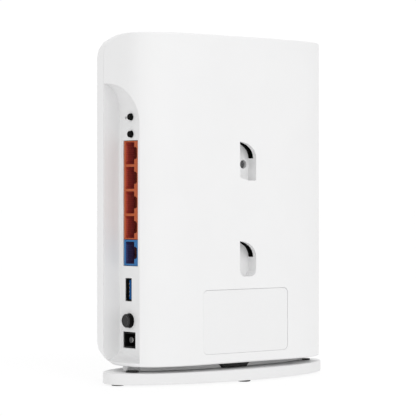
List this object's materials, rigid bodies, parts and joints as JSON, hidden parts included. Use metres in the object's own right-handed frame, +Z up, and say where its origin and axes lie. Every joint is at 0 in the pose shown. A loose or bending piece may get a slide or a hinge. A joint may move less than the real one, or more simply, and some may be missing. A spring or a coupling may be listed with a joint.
{
  "type": "home gateway",
  "caption": "Upright white home gateway on an oval stand, with a scooped port bay down one side, wall-mount pockets and a label plate on its back.",
  "frame": {"origin": "centre of the object's footprint, at the bottom of the rubber feet", "axes": "+Z up; +Y out of the back, where the wall pockets and the label are; +X out of the port bay's side"},
  "size_m": [0.1578, 0.0688, 0.1979],
  "materials": {
    "white_plastic": "satin",
    "label_white": "satin",
    "grey_plastic": "satin",
    "black_plastic": "satin",
    "black_rubber": "matte",
    "orange_plastic": "satin",
    "blue_plastic": "satin",
    "steel": "satin",
    "gold_contact": "polished",
    "circuit_board": "satin",
    "aluminium": "satin"
  },
  "bodies": {
    "case": {"front_cover": "white_plastic", "rear_cover": "white_plastic", "rating_label": "label_white", "base_plate": "white_plastic", "stand_neck": "white_plastic", "stand_lock": "black_plastic", "neck_pad_port": "black_plastic", "neck_pad_far": "black_plastic", "foot_port": "black_rubber", "foot_far": "black_rubber", "foot_rear": "black_rubber", "foot_front": "black_rubber", "stand_screw_port": "steel", "stand_screw_far": "steel", "case_screw": "steel", "light_guide": "label_white", "inner_frame": "grey_plastic", "main_board": "circuit_board", "heat_sink": "aluminium", "processor": "black_plastic", "memory_chip": "black_plastic", "shield_can_upper": "steel", "shield_can_lower": "steel", "bulk_capacitor": "black_plastic", "status_led": "label_white", "rj45_gang": "orange_plastic", "rj45_single": "blue_plastic", "usb_shell": "steel", "usb_tongue": "blue_plastic", "dc_jack": "black_plastic", "dc_pin": "steel", "power_switch": "grey_plastic", "board_screw_1": "steel", "antenna_lead_1": "black_plastic", "board_screw_2": "steel", "antenna_lead_2": "black_plastic", "board_screw_3": "steel", "antenna_lead_3": "black_plastic", "board_screw_4": "steel", "antenna_lead_4": "black_plastic", "socket_contacts_1": "gold_contact", "socket_contacts_2": "gold_contact", "socket_contacts_3": "gold_contact", "socket_contacts_4": "gold_contact", "socket_contacts_5": "gold_contact", "antenna_top_far": "circuit_board", "antenna_top_port": "circuit_board", "antenna_side_upper": "circuit_board", "antenna_side_lower": "circuit_board", "wifi_switch": "steel", "wps_switch": "steel", "reset_switch": "steel"},
    "power_key": {"power_button": "black_plastic", "power_plunger": "grey_plastic"},
    "wifi_key": {"wifi_button": "black_plastic", "wifi_plunger": "black_plastic"},
    "wps_key": {"wps_button": "black_plastic", "wps_plunger": "black_plastic"},
    "reset_key": {"reset_plunger": "black_plastic"}
  },
  "joints": [
    {"name": "power_press", "type": "slide", "parent": "case", "child": "power_key", "axis": [-1, 0, 0], "range_m": [0, 0.0022], "stiffness_N_per_m": 800, "springref_m": -0.001},
    {"name": "wifi_press", "type": "slide", "parent": "case", "child": "wifi_key", "axis": [-1, 0, 0], "range_m": [0, 0.0004], "stiffness_N_per_m": 4000, "springref_m": -0.0003},
    {"name": "wps_press", "type": "slide", "parent": "case", "child": "wps_key", "axis": [-1, 0, 0], "range_m": [0, 0.0004], "stiffness_N_per_m": 4000, "springref_m": -0.0003},
    {"name": "reset_press", "type": "slide", "parent": "case", "child": "reset_key", "axis": [-1, 0, 0], "range_m": [0, 0.00025], "stiffness_N_per_m": 4000, "springref_m": -0.0003}
  ]
}
